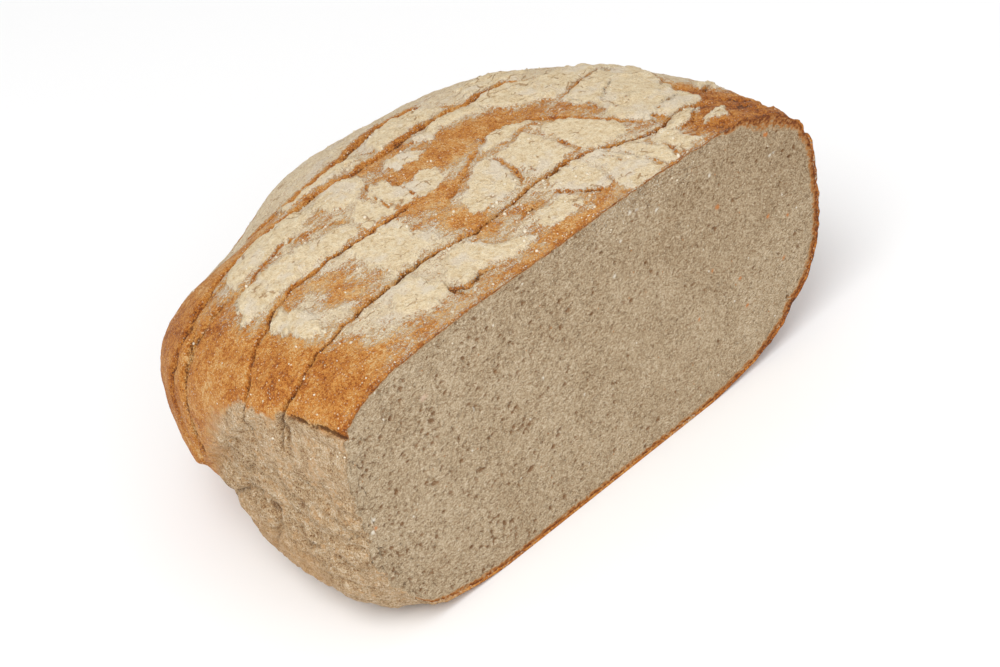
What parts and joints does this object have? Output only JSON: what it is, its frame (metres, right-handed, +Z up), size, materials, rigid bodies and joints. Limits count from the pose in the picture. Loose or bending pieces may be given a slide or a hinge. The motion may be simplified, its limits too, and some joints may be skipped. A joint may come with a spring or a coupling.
{
  "type": "cut rye bread loaf",
  "caption": "Crusty rye loaf cut across to show its close crumb, with a floured, cracked top and a flat baked base to stand on.",
  "frame": {"origin": "middle of the loaf's footprint box, on the ground plane of its baked base", "axes": "+X along the cut face, with the torn side at -X and the crusty end at +X; +Z up; the cut face looks towards -Y and the rounded far end is at +Y"},
  "size_m": [0.2276, 0.146, 0.1036],
  "materials": {
    "bread": "dry baked crust, floured on top, with a pale matt crumb on the cut face"
  },
  "bodies": {
    "root": {"rye_loaf": "bread"}
  },
  "joints": []
}
